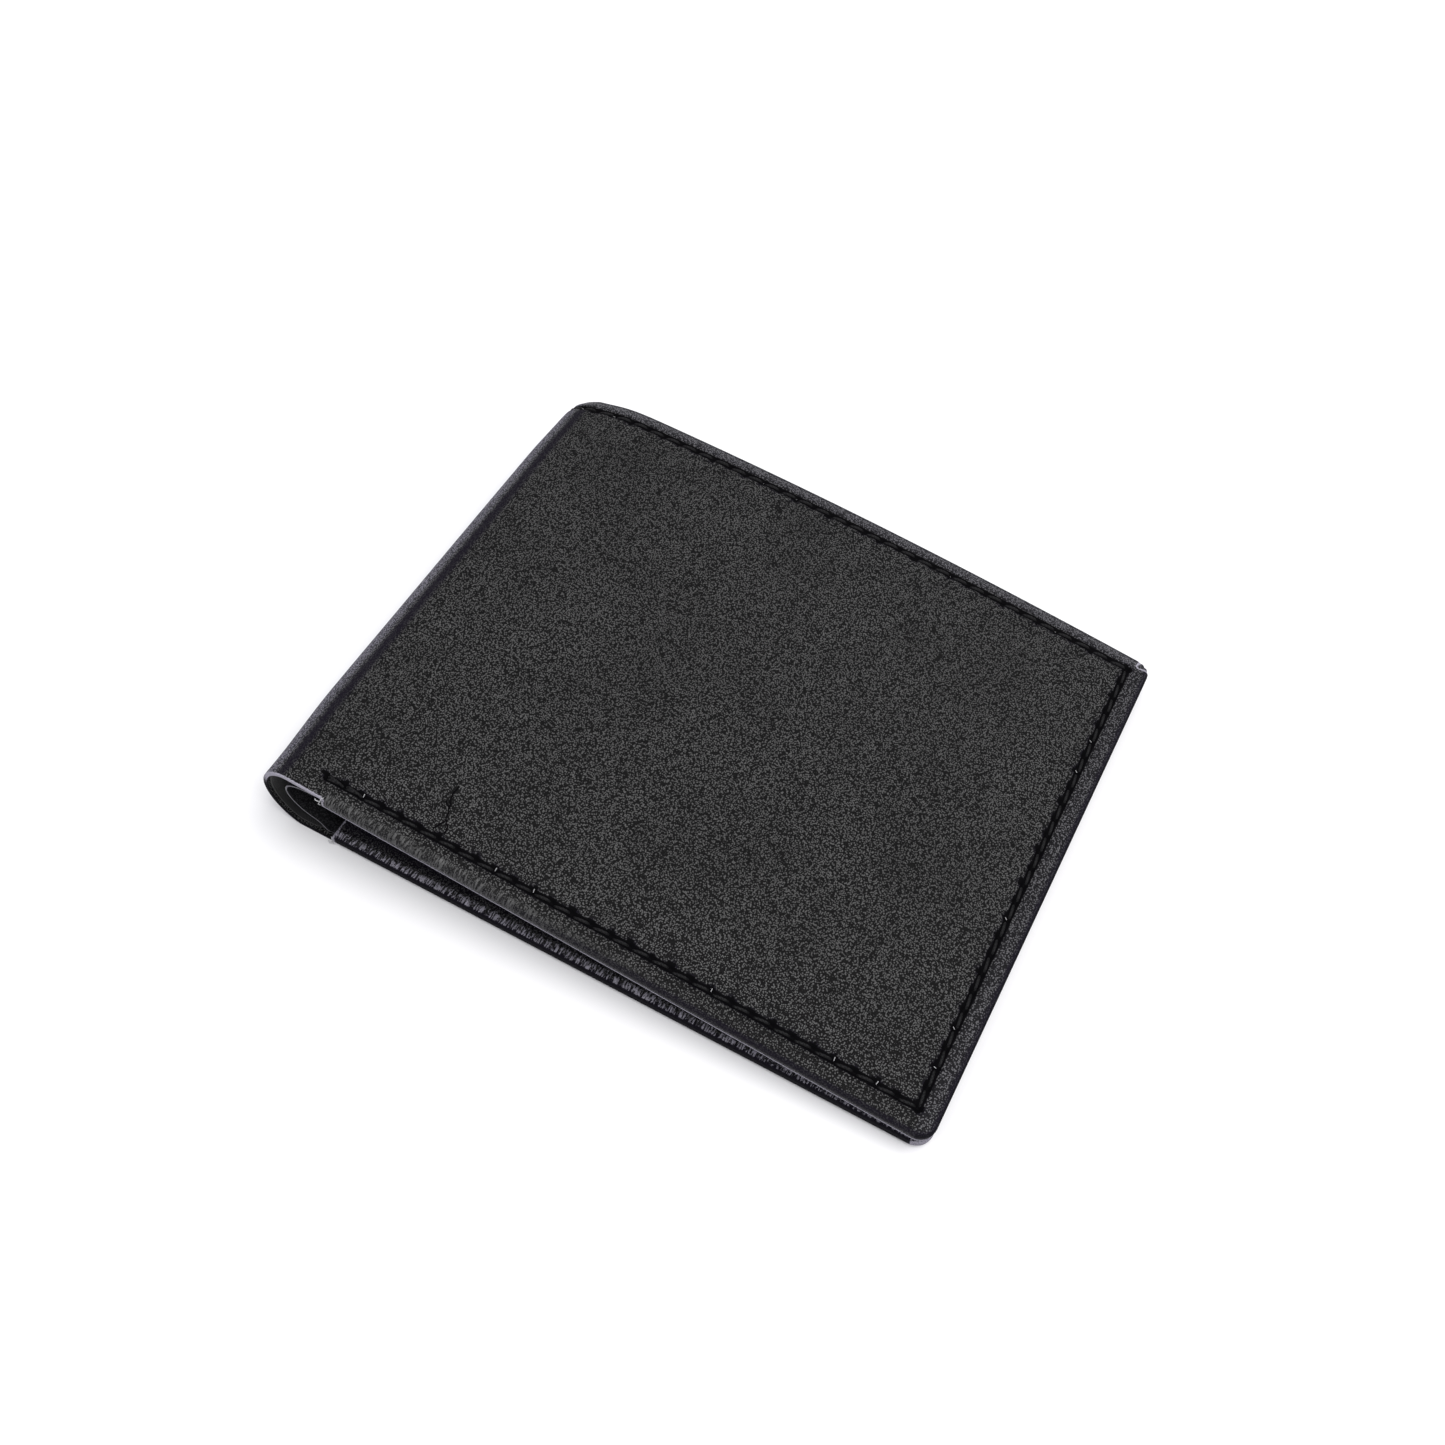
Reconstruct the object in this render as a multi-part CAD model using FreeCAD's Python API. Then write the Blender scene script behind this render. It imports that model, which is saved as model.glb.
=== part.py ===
import FreeCAD, Part
import math
import os

from FreeCAD import Vector

# A closed leather bifold wallet, empty, lying on its back half. Millimetres.
# Origin: the middle of the wallet's footprint, on the plane that it lies on.
# +X runs from the fold to the open side, +Y to the edge where banknotes go in, +Z up.
# Each half is built once, flat, and the upper (front) half is its mirror image in the
# plane that halves the wedge between them.

# ---- driving dimensions ----
WIDTH = 110.0  # from the fold to the open side
HEIGHT = 89.0  # along the fold
WEDGE = 5.2  # degrees between the two halves
STOP_SHORT = 4.2  # degrees short of flat where the stiff fold stops opening
OPEN_SIDE_HEIGHT = 5.0  # both halves together at the open side
CORNER = 2.6  # corner radius in plan at the open side

LEATHER = 0.8  # outer leather
LINING = 0.25  # lining glued behind the outer leather
DIVIDER = 0.3  # wall between the banknote compartment and the card side
PANEL = 0.35  # leather panel that carries the card slots
HEM = 0.5  # turned-in edge, pared thin
HEM_WIDTH = 7.0  # how far the turned-in edge reaches inwards
HEM_WALL = 0.5  # the turn itself, seen from above
HEM_START = 13.0  # from the fold's outside to where the lower hem begins
INTERIOR_DROP = 7.5  # the card side stops this far below the banknote edge

BODY_GAP = 0.35  # free space between pieces that turn against each other
LOOP_SHIFT = 3.9  # the divider's loop lies this far inside the outer loop
LOOP_LIFT = 0.3  # and this far above the lining

SLOT_COUNT = 3  # card slots above the front pocket, on each half
SLOT_PITCH = 10.5  # from one slot's mouth to the next
SLOT_STRIP = 14.0  # height of each slot's leather strip
SLOT_TOP = 4.0  # from the top of the card side to the first mouth
SLOT_STEP_FOLD = 0.55  # thickness of one layer beside the fold
SLOT_STEP_OPEN = 0.2  # and pared thin beside the open side
SLOT_INSET = 2.0  # from the panel's edge beside the fold to the slots
FABRIC_SHARE = 0.36  # a slot's fabric against its leather, in thickness

STITCH_INSET = 3.5
STITCH_PITCH = 3.2
STITCH_LENGTH = 2.5
STITCH_WIDTH = 0.5
STITCH_THICK = 0.2
STITCH_SLANT = 6.0  # degrees
GROOVE_WIDTH = 0.9
GROOVE_DEPTH = 0.25

# ---- worked out ----
wedge = math.radians(WEDGE)
# The front half's open side stands this far past the back half's, because it slopes down.
meeting_reach = OPEN_SIDE_HEIGHT / math.tan(wedge)
overhang = meeting_reach * (1 - math.cos(wedge))
fold_x = -WIDTH / 2
open_x = WIDTH / 2 - overhang
low_y = -HEIGHT / 2
top_y = HEIGHT / 2
# The outer loop is the circle that touches both outer faces and the fold's outermost line.
meeting_x = open_x + meeting_reach
half_slope = math.tan(wedge / 2)
loop_radius = (meeting_x - fold_x) * half_slope / (1 + half_slope)
loop_x = fold_x + loop_radius
hem_x = fold_x + HEM_START
lining_top = LEATHER + LINING
divider_top = lining_top + DIVIDER
panel_top = divider_top + PANEL
rim_top = panel_top + HEM
interior_top_y = top_y - INTERIOR_DROP
stitch_low_y = low_y + STITCH_INSET
stitch_top_y = top_y - STITCH_INSET
stitch_open_x = open_x - STITCH_INSET
# A straight stitch on the round loop has to lie this much deeper for its ends to stay inside.
stitch_sag = (STITCH_LENGTH / 2) ** 2 / (2 * loop_radius)
# Along the wedge's middle plane, from the loop's centre towards the open side.
middle = Vector(math.cos(wedge / 2), 0, -math.sin(wedge / 2))
across = Vector(math.sin(wedge / 2), 0, math.cos(wedge / 2))
loop_centre = Vector(loop_x, 0, loop_radius)
inner_centre = loop_centre + middle * LOOP_SHIFT
inner_radius = inner_centre.z - lining_top - LOOP_LIFT
divider_x = inner_centre.x + BODY_GAP
panel_x = divider_x + BODY_GAP
panel_stitch_x = panel_x + SLOT_INSET / 2
slot_x = panel_x + SLOT_INSET


def block(x0, x1, y0, y1, z0, z1):
    return Part.makeBox(x1 - x0, y1 - y0, z1 - z0, Vector(x0, y0, z0))


def plate(x0, x1, y0, y1, z0, z1, corner):
    """A flat sheet with both corners at its open side rounded."""
    sheet = block(x0, x1, y0, y1, z0, z1)
    upright = []
    for edge in sheet.Edges:
        a, b = (v.Point for v in edge.Vertexes)
        if abs(a.x - x1) < 1e-6 and abs(b.x - x1) < 1e-6 and abs(a.z - b.z) > 1e-6:
            upright.append(edge)
    return sheet.makeFillet(corner, upright)


def ring(centre, outer, thickness, y0, y1):
    """The loop of one layer round the fold, short of both halves by half a gap each."""
    gap = BODY_GAP / outer
    start = -math.pi / 2 - gap
    finish = -3 * math.pi / 2 - wedge + gap
    inner = outer - thickness

    def point(radius, angle):
        return Vector(centre.x + radius * math.cos(angle), y0, centre.z + radius * math.sin(angle))

    half_way = (start + finish) / 2
    outside = Part.Arc(point(outer, start), point(outer, half_way), point(outer, finish))
    inside = Part.Arc(point(inner, finish), point(inner, half_way), point(inner, start))
    edges = [
        outside.toShape(),
        Part.LineSegment(point(outer, finish), point(inner, finish)).toShape(),
        inside.toShape(),
        Part.LineSegment(point(inner, start), point(outer, start)).toShape(),
    ]
    return Part.Face(Part.Wire(edges)).extrude(Vector(0, y1 - y0, 0))


def stitch(x, y, z, along, slant):
    """One stitch, a flat bar with pointed ends, centred on x, y and standing on z."""
    half = STITCH_LENGTH / 2
    side = STITCH_WIDTH / 2
    corners = [(-half, 0), (-half + side, -side), (half - side, -side)]
    corners += [(half, 0), (half - side, side), (-half + side, side)]
    points = [Vector(u, v, 0) for u, v in corners]
    bar = Part.Face(Part.makePolygon(points + points[:1])).extrude(Vector(0, 0, STITCH_THICK))
    bar.rotate(Vector(0, 0, 0), Vector(0, 0, 1), along + slant)
    bar.translate(Vector(x, y, z))
    return bar


def run_of_stitches(start, finish, z):
    """Evenly spaced stitches between two points in plan."""
    length = math.dist(start, finish)
    count = round(length / STITCH_PITCH)
    along = math.degrees(math.atan2(finish[1] - start[1], finish[0] - start[0]))
    bars = []
    for index in range(count):
        share = (index + 0.5) / count
        x = start[0] + (finish[0] - start[0]) * share
        y = start[1] + (finish[1] - start[1]) * share
        bars.append(stitch(x, y, z, along, STITCH_SLANT))
    return bars


def outer_leather():
    """The flat outer face, with a shallow groove that the outer stitches lie in."""
    sheet = plate(loop_x, open_x, low_y, top_y, 0, LEATHER, CORNER)
    side = GROOVE_WIDTH / 2
    x0 = stitch_open_x - side
    x1 = stitch_open_x + side
    low = block(hem_x, x1, stitch_low_y - side, stitch_low_y + side, 0, GROOVE_DEPTH)
    top = block(loop_x, x1, stitch_top_y - side, stitch_top_y + side, 0, GROOVE_DEPTH)
    end = block(x0, x1, stitch_low_y, stitch_top_y, 0, GROOVE_DEPTH)
    return sheet.cut(low.fuse([top, end]))


def outer_lining():
    x1 = open_x - HEM_WALL
    return plate(loop_x, x1, low_y + HEM_WALL, top_y - HEM_WIDTH, LEATHER, lining_top, CORNER - HEM_WALL)


def divider():
    x1 = open_x - HEM_WALL
    return plate(divider_x, x1, low_y + HEM_WALL, interior_top_y, lining_top, divider_top, CORNER - HEM_WALL)


def inner_panel():
    x1 = open_x - HEM_WALL
    return plate(panel_x, x1, low_y + HEM_WALL, interior_top_y, divider_top, panel_top, CORNER - HEM_WALL)


def mitre(sign):
    """Everything on the open side of the 45 degree line through one corner of the outer face."""
    y = top_y if sign > 0 else low_y
    reach = 2 * HEM_WIDTH
    inner_y = y - sign * reach
    points = [Vector(open_x, y, 0), Vector(open_x - reach, inner_y, 0), Vector(open_x, inner_y, 0)]
    return Part.Face(Part.makePolygon(points + points[:1])).extrude(Vector(0, 0, rim_top))


def turned_edge():
    """The hem along the lower edge and the open side, which also holds the card side's edge."""
    whole = plate(hem_x, open_x, low_y, top_y, LEATHER, rim_top, CORNER)
    held = plate(hem_x, open_x - HEM_WALL, low_y + HEM_WALL, top_y, LEATHER, panel_top, CORNER - HEM_WALL)
    window = plate(hem_x, open_x - HEM_WIDTH, low_y + HEM_WIDTH, top_y, LEATHER, rim_top, CORNER)
    return whole.cut(held).cut(window)


def side_hem():
    middle_part = block(open_x - HEM_WIDTH, open_x, low_y + HEM_WIDTH, top_y - HEM_WIDTH, 0, rim_top)
    reach = HEM_WIDTH
    corner_low = block(open_x - reach, open_x, low_y, low_y + reach, 0, rim_top).common(mitre(-1))
    corner_top = block(open_x - reach, open_x, top_y - reach, top_y, 0, rim_top).common(mitre(1))
    return turned_edge().common(middle_part.fuse([corner_low, corner_top]).removeSplitter())


def lower_hem():
    strip = block(hem_x, open_x, low_y, low_y + HEM_WIDTH, 0, rim_top)
    return turned_edge().common(strip.cut(mitre(-1)))


def top_hem():
    """The hem along the banknote edge, turned onto the outer leather alone."""
    sheet = plate(loop_x, open_x, low_y, top_y, LEATHER, LEATHER + HEM, CORNER)
    strip = block(loop_x, open_x, top_y - HEM_WIDTH, top_y, 0, rim_top)
    return sheet.common(strip.cut(mitre(1)))


def layer_height(x, level):
    """Height of a layer of the card slots, which are pared thinner towards the open side."""
    share = (x - slot_x) / (open_x - HEM_WIDTH - slot_x)
    step = SLOT_STEP_FOLD + (SLOT_STEP_OPEN - SLOT_STEP_FOLD) * share
    return panel_top + step * level


def tapered(y0, y1, bottom_level, top_level):
    x1 = open_x - HEM_WIDTH - BODY_GAP
    points = [
        Vector(slot_x, y0, layer_height(slot_x, bottom_level)),
        Vector(x1, y0, layer_height(x1, bottom_level)),
        Vector(x1, y0, layer_height(x1, top_level)),
        Vector(slot_x, y0, layer_height(slot_x, top_level)),
    ]
    return Part.Face(Part.makePolygon(points + points[:1])).extrude(Vector(0, y1 - y0, 0))


def slot_mouth(index):
    return interior_top_y - SLOT_TOP - SLOT_PITCH * index


slot_floor_y = low_y + HEM_WIDTH + BODY_GAP


def card_slot(index):
    return tapered(slot_mouth(index) - SLOT_STRIP, slot_mouth(index), index, index + 1)


def slot_fabric(index):
    return tapered(slot_floor_y, slot_mouth(index) - SLOT_STRIP, index, index + FABRIC_SHARE)


def front_pocket():
    return tapered(slot_floor_y, slot_mouth(SLOT_COUNT), SLOT_COUNT, SLOT_COUNT + 1)


def edge_thread():
    """Stitches along the lower edge and the open side, seen outside and inside."""
    outside = GROOVE_DEPTH - STITCH_THICK
    bars = []
    for z in (outside, rim_top):
        bars += run_of_stitches((hem_x, stitch_low_y), (stitch_open_x, stitch_low_y), z)
        bars += run_of_stitches((stitch_open_x, stitch_low_y), (stitch_open_x, stitch_top_y), z)
    return Part.makeCompound(bars)


def top_thread():
    outside = GROOVE_DEPTH - STITCH_THICK
    inside = LEATHER + HEM
    end_x = open_x - HEM_WIDTH
    bars = run_of_stitches((loop_x, stitch_top_y), (stitch_open_x, stitch_top_y), outside)
    bars += run_of_stitches((loop_x + BODY_GAP, stitch_top_y), (end_x, stitch_top_y), inside)
    return Part.makeCompound(bars)


def panel_thread():
    """Stitches that hold the panel's edge beside the fold to the divider."""
    start = (panel_stitch_x, low_y + HEM_WIDTH)
    return Part.makeCompound(run_of_stitches(start, (panel_stitch_x, interior_top_y), panel_top))


def spine_leather():
    """The outer leather round the fold, with the stitch groove near the banknote edge."""
    side = GROOVE_WIDTH / 2
    whole = ring(loop_centre, loop_radius, LEATHER, low_y, top_y)
    depth = GROOVE_DEPTH + stitch_sag
    groove = ring(loop_centre, loop_radius, depth, stitch_top_y - side, stitch_top_y + side)
    return whole.cut(groove)


def spine_thread():
    """The banknote edge's stitches where they go round the fold."""
    sweep = math.pi + wedge
    count = round(loop_radius * sweep / STITCH_PITCH)
    bars = []
    for index in range(count):
        turn = math.degrees(sweep) * (index + 0.5) / count
        depth = GROOVE_DEPTH - STITCH_THICK + stitch_sag
        bar = stitch(0, stitch_top_y, depth - loop_radius, 0, STITCH_SLANT)
        bar.rotate(Vector(0, 0, 0), Vector(0, 1, 0), turn)
        bar.translate(Vector(loop_centre.x, 0, loop_centre.z))
        bars.append(bar)
    return Part.makeCompound(bars)


half_pieces = {
    "outer_leather": outer_leather(),
    "outer_lining": outer_lining(),
    "lower_hem": lower_hem(),
    "side_hem": side_hem(),
    "top_hem": top_hem(),
    "divider": divider(),
    "inner_panel": inner_panel(),
    "front_pocket": front_pocket(),
    "edge_thread": edge_thread(),
    "top_thread": top_thread(),
    "panel_thread": panel_thread(),
}
for slot in range(SLOT_COUNT):
    half_pieces[f"card_slot_{slot + 1}"] = card_slot(slot)
    half_pieces[f"slot_fabric_{slot + 1}"] = slot_fabric(slot)

pieces = {
    "outer_leather_spine": spine_leather(),
    "outer_lining_spine": ring(
        loop_centre, loop_radius - LEATHER, LINING, low_y + HEM_WALL, top_y - HEM_WIDTH
    ),
    "top_hem_spine": ring(loop_centre, loop_radius - LEATHER, HEM, top_y - HEM_WIDTH, top_y),
    "divider_spine": ring(inner_centre, inner_radius, DIVIDER, low_y + HEM_WALL, interior_top_y),
    "top_thread_spine": spine_thread(),
}
for name, shape in half_pieces.items():
    pieces[f"{name}_back"] = shape
    pieces[f"{name}_front"] = shape.mirror(loop_centre, across)

os.makedirs("parts", exist_ok=True)
for name, shape in pieces.items():
    shape.exportStep(f"parts/{name}.step")
    print(f"{name}: {len(shape.Solids)} solids, {shape.Volume:.1f} mm3, valid {shape.isValid()}")

# The fold is two hinges along Y. Their places keep the leather's length round the loop, so
# that the outer faces would come down onto one plane if the wallet opened quite flat. The
# folded leather is stiff, and stops a few degrees before that.
opening = (math.pi + wedge) / 2
hinge_reach = loop_radius * opening / (2 * math.sin(opening / 2))
travel = opening - math.radians(STOP_SHORT) / 2
middle_angle = math.pi - wedge / 2
for name, side in (("back hinge", 1), ("front hinge", -1)):
    angle = middle_angle + side * opening / 2
    x = loop_centre.x + hinge_reach * math.cos(angle)
    z = loop_centre.z + hinge_reach * math.sin(angle)
    print(f"{name}: x {x:.3f}, z {z:.3f}, opens {math.degrees(travel):.2f} degrees")
print(f"loop centre x {loop_centre.x:.3f}, z {loop_centre.z:.3f}, radius {loop_radius:.3f}")
print(f"inner loop centre x {inner_centre.x:.3f}, z {inner_centre.z:.3f}, radius {inner_radius:.3f}")
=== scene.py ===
import math
from functools import partial

import bmesh
import bpy
import numpy as np
from mathutils import Matrix, Vector


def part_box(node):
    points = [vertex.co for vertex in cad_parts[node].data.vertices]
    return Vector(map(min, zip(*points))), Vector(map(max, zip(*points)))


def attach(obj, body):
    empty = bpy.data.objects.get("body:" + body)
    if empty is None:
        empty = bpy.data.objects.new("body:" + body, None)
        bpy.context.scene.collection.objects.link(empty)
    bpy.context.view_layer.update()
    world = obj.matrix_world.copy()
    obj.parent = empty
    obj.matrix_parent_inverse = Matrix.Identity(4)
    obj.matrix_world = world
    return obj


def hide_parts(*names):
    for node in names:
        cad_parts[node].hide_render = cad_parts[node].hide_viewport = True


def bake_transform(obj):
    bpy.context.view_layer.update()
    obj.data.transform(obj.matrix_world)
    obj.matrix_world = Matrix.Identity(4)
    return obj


# A closed bifold wallet in black leather. Lengths are in millimetres until a mesh is made.
# Every layer is described by three flat coordinates: s, the distance along the leather from
# the middle of the fold towards either open side; y, along the fold; and depth, inwards from
# the outer face. place() bends them into the closed wallet.

MM = 0.001
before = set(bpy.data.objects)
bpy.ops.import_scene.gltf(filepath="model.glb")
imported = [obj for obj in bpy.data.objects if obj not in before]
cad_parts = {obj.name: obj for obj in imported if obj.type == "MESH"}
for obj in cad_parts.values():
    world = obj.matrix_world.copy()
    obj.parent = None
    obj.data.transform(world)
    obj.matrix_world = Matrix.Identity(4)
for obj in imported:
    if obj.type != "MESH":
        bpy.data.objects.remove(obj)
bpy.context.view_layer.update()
scene = bpy.context.scene


def box_mm(node):
    low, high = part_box(node)
    return np.array(low) / MM, np.array(high) / MM


# ---- the frame's sizes ----
leather_low, leather_high = box_mm("outer_leather_back")
LOOP_X, LOW_Y = leather_low[:2]
OPEN_X, TOP_Y, LEATHER = leather_high
RADIUS = LOOP_X - box_mm("outer_leather_spine")[0][0]
front_low, front_high = box_mm("outer_leather_front")
WEDGE = math.asin((front_high[2] - front_low[2] - LEATHER) / (OPEN_X - LOOP_X))
hem_low, hem_high = box_mm("lower_hem_back")
NOTCH_X = hem_low[0]
RIM = hem_high[2]
HEM_WIDTH = hem_high[1] - LOW_Y
TOP_RIM = box_mm("top_hem_back")[1][2]
HEM = TOP_RIM - LEATHER
LINING_TOP = box_mm("outer_lining_back")[1][2]
INTERIOR_TOP_Y, DIVIDER_TOP = box_mm("divider_back")[1][1:]
panel_low, panel_high = box_mm("inner_panel_back")
PANEL_X, PANEL_TOP = panel_low[0], panel_high[2]
PANEL_STITCH_X = sum(b[0] for b in box_mm("panel_thread_back")) / 2

# ---- looks ----
CORNER = 2.6  # corner radius in plan
STITCH_INSET = 3.5
STITCH_PITCH = 3.2
THREAD_RADIUS = 0.22
STITCH_SHARES = (0.0, 0.11, 0.3, 0.5, 0.7, 0.89)  # where each stitch has mesh stations
GROOVE = 0.34  # depth of the groove that the stitches lie in
CROWN = 0.85  # how far the front panel swells between its seams
CROWN_START, CROWN_REACH = 3.0, 14  # where the swell starts, in from the edge, and its width
BOW = 2.1  # how far the front half's banknote edge rises at mid length
BOW_REACH = 42  # how far from that edge the rise begins
FOLD_IN = 1.5  # how far the whole fold is pressed in
PINCH, PINCH_REACH = 0.45, 13  # how far more its bare end at the lower edge draws in
FAR_IN, FAR_REACH = 1.1, 2.9  # how far more its end at the banknote edge is drawn in
EDGE_DROP = 1.0  # how far the front half's banknote edge curls down
CURL_WIDTH = 3.3  # how wide that curled strip is
CORNER_IN = 1.65  # how far the front half's edge is rounded in where the fold begins
CORNER_S, CORNER_WIDTH, CORNER_REACH = 9.5, 5.5, 14  # the middle, width and depth of that rounding

MIDDLE = math.pi - WEDGE / 2  # direction from the loop's centre to the middle of the fold
ACROSS = (math.sin(WEDGE / 2), math.cos(WEDGE / 2))
HALF_ARC = RADIUS * (math.pi + WEDGE) / 2


def s_of(x):
    """The path distance of a place on a flat half, from its x on the back half."""
    return HALF_ARC + x - LOOP_X


S_OPEN = s_of(OPEN_X)
S_CORNER = S_OPEN - CORNER
S_NOTCH = s_of(NOTCH_X)


def sided(name, front):
    return f"{name}_front" if front else f"{name}_back"


def smooth(t):
    t = np.clip(t, 0, 1)
    return t * t * (3 - 2 * t)


def bell(distance, width, power=2):
    """1 in the middle of a soft bump, falling off about a width away from it."""
    return np.exp(-((distance / width) ** power))


def mirrored(x, z):
    """Reflects back-half places into the front half, through the wedge's middle plane."""
    reach = (x - LOOP_X) * ACROSS[0] + (z - RADIUS) * ACROSS[1]
    return x - 2 * reach * ACROSS[0], z - 2 * reach * ACROSS[1]


def swell(s, y):
    """How far the front panel stands out from its flat face: its crown and a slow unevenness."""
    nearest = np.minimum(np.minimum(y - LOW_Y, TOP_Y - y), S_OPEN - s)
    crown = CROWN * smooth((nearest - CROWN_START) / CROWN_REACH)
    crown = crown * (0.35 + 0.65 * smooth(s / (HALF_ARC + 12)))
    wave = 0.10 * np.sin(s * 0.071 + y * 0.052 + 1.3) + 0.07 * np.sin(y * 0.113 - s * 0.043)
    return crown + wave * smooth((nearest - 2.0) / 10) * smooth(s / HALF_ARC)


def curl(s, y):
    """How far the banknote edge of the front half curls in, away from its flat face."""
    share = np.clip(1 - (TOP_Y - y) / CURL_WIDTH, 0, 1)
    return EDGE_DROP * share**1.4 * smooth(s / (0.7 * HALF_ARC))


def bow(s, y, first):
    """How far the front half rises at its banknote edge, from a first place to the open side."""
    along = np.clip((s - first) / (S_OPEN - first), 0, 1)
    return BOW * np.sin(math.pi * along) ** 0.9 * smooth((y - TOP_Y + BOW_REACH) / BOW_REACH) ** 1.6


def place(s, y, depth, front):
    """Bends flat coordinates into the closed wallet. Returns places in millimetres."""
    s, y, depth = np.broadcast_arrays(np.asarray(s, float), y, depth)
    if front:
        depth = depth - swell(s, y) + curl(s, y)
    angle = MIDDLE + np.clip(s, 0, HALF_ARC) / RADIUS
    bent = s < HALF_ARC
    x = np.where(bent, LOOP_X + (RADIUS - depth) * np.cos(angle), LOOP_X + s - HALF_ARC)
    z = np.where(bent, RADIUS + (RADIUS - depth) * np.sin(angle), depth)
    if front:
        x, z = mirrored(x, z)
    turn = np.clip(s / HALF_ARC, 0, 1) * (-1 if front else 1)
    pinch = PINCH * bell(y - LOW_Y, PINCH_REACH) * (1 + 1.2 * turn)
    x = x + (pinch + FOLD_IN + FAR_IN * bell(TOP_Y - y, FAR_REACH)) * (1 - turn**2)
    rounding = bell((s if front else -s) - CORNER_S, CORNER_WIDTH)
    y = y - CORNER_IN * rounding * smooth((y - TOP_Y + CORNER_REACH) / CORNER_REACH)
    if front:
        z = z + bow(s, y, 0.2 * HALF_ARC)
    return np.stack([x, y, z], -1)


# ---- stitch rows ----
NEAR_ROW_Y = LOW_Y + STITCH_INSET
TOP_ROW_Y = TOP_Y - STITCH_INSET
SIDE_ROW_S = S_OPEN - STITCH_INSET
ALONG_PITCH = SIDE_ROW_S / round(SIDE_ROW_S / STITCH_PITCH)
LOWER_STITCHES = round((SIDE_ROW_S - S_NOTCH + 0.8) / ALONG_PITCH)


def stitch_row(start, finish, panel_side):
    """A straight row: its start, its direction, the direction towards the panel, its pitch and its
    number of stitches. panel_side is 1 where the panel is on the row's left."""
    start, finish = np.array(start), np.array(finish)
    length = math.dist(start, finish)
    along = (finish - start) / length
    count = round(length / STITCH_PITCH)
    return start, along, panel_side * np.array([-along[1], along[0]]), length / count, count


near_corner, far_corner = (SIDE_ROW_S, NEAR_ROW_Y), (SIDE_ROW_S, TOP_ROW_Y)
notch_end = (SIDE_ROW_S - LOWER_STITCHES * ALONG_PITCH, NEAR_ROW_Y)
ROWS = {
    "lower": stitch_row(near_corner, notch_end, -1),
    "side": stitch_row(near_corner, far_corner, 1),
    "top": stitch_row(far_corner, (0.0, TOP_ROW_Y), 1),
}


def row_places(row, s, y):
    """Distances along a row from the nearest hole, across it towards the panel, and past its ends,
    and the number of that hole."""
    start, direction, inwards, pitch, count = ROWS[row]
    along = (s - start[0]) * direction[0] + (y - start[1]) * direction[1]
    off = (s - start[0]) * inwards[0] + (y - start[1]) * inwards[1]
    number = np.clip(np.round(along / pitch), 0, count)
    beyond = np.maximum(np.maximum(-along, along - count * pitch), 0)
    return along - number * pitch, off, beyond, number


def stitch_dents(s, y):
    """Depth of the groove and of the holes that the stitches pull into the leather."""
    dent = np.zeros_like(s)
    for row in ROWS:
        to_hole, off, beyond, _ = row_places(row, s, y)
        groove = GROOVE * bell(off, 0.62) * bell(beyond, 0.5)
        hole = 0.38 * bell(np.hypot(to_hole, off), 0.42)
        dent = np.maximum(dent, groove + hole)
    return dent


def stitch_shade(s, y):
    """Painted shade in the pressed stitch groove and round the holes."""
    shade = np.zeros_like(s)
    for row in ROWS:
        to_hole, off, beyond, number = row_places(row, s, y)
        groove = bell(off, 0.55, 4) * bell(beyond, 0.4)
        length = 0.95 + 0.16 * np.sin(number * 2.3)
        width = 0.72 + 0.14 * np.sin(number * 3.7 + 1)
        across = off - 0.24 - 0.30 * to_hole
        hole = bell(np.hypot(to_hole / length, across / width), 1, 4)
        shade = np.maximum(shade, np.maximum(0.95 * groove, hole))
    return shade


# ---- mesh helpers ----
def add_object(name, data):
    obj = bpy.data.objects.new(name, data)
    scene.collection.objects.link(obj)
    return obj


def finish_mesh(name, points, faces, materials, attributes, slots=None, merge=None):
    """Makes an object from millimetre points, smooth shaded, with its outside faces outwards."""
    mesh = bpy.data.meshes.new(name)
    mesh.from_pydata((points * MM).tolist(), [], faces)
    for material in materials:
        mesh.materials.append(material)
    if slots:
        mesh.polygons.foreach_set("material_index", slots)
    for key, values in attributes.items():
        values = np.asarray(values, np.float32)
        kind, field = ("FLOAT_VECTOR", "vector") if values.ndim == 2 else ("FLOAT", "value")
        mesh.attributes.new(key, kind, "POINT").data.foreach_set(field, values.ravel())
    tidy_mesh(mesh, merge)
    return add_object(name, mesh)


def tidy_mesh(mesh, merge):
    work = bmesh.new()
    work.from_mesh(mesh)
    if merge:
        bmesh.ops.remove_doubles(work, verts=work.verts, dist=merge * MM)
    bmesh.ops.dissolve_degenerate(work, edges=work.edges, dist=1e-9)
    bmesh.ops.recalc_face_normals(work, faces=work.faces)
    for face in work.faces:
        face.smooth = True
    for edge in work.edges:
        if len(edge.link_faces) == 2:
            edge.smooth = edge.calc_face_angle(0) < math.radians(50)
    work.to_mesh(mesh)
    work.free()


def grid_faces(rows, columns, first=0):
    """Quads of a rows by columns grid of points numbered row by row."""
    index = first + np.arange(rows * columns).reshape(rows, columns)
    quads = np.stack([index[:-1, :-1], index[:-1, 1:], index[1:, 1:], index[1:, :-1]], -1)
    return quads.reshape(-1, 4).tolist()


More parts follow.
